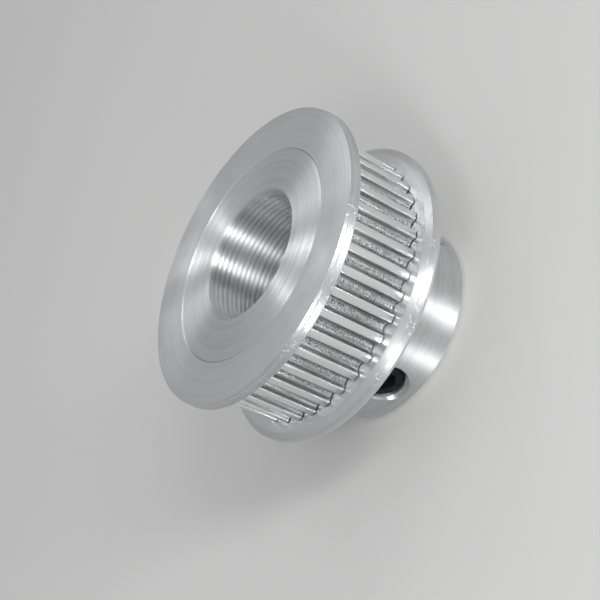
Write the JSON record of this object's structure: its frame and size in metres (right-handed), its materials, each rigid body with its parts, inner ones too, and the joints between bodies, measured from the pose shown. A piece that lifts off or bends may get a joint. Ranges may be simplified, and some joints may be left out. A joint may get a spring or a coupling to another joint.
{
  "type": "timing belt pulley",
  "caption": "Flanged toothed pulley for a narrow round-tooth timing belt, with a plain through bore and a hub clamped to its shaft by radial set screws.",
  "frame": {"origin": "centre of the bore at the hub's end face", "axes": "+Z along the bore from the hub to the front flange, -Y out of the first set screw hole, +X through the middle of a tooth"},
  "size_m": [0.028, 0.028, 0.017],
  "materials": {
    "machined_aluminium": "turned and hobbed, bare",
    "turned_aluminium": "fine turned, bare",
    "black_steel": "black oxide"
  },
  "bodies": {
    "pulley": {"toothed_body": "machined_aluminium", "front_flange": "turned_aluminium", "rear_flange": "turned_aluminium"},
    "front_screw": {"front_set_screw": "black_steel"},
    "side_screw": {"side_set_screw": "black_steel"}
  },
  "joints": [
    {"name": "front_screw_travel", "type": "slide", "parent": "pulley", "child": "front_screw", "axis": [0, -1, 0], "range_m": [-0.0005, 0.003]},
    {"name": "side_screw_travel", "type": "slide", "parent": "pulley", "child": "side_screw", "axis": [0.9397, 0.342, 0], "range_m": [-0.0005, 0.003]}
  ]
}
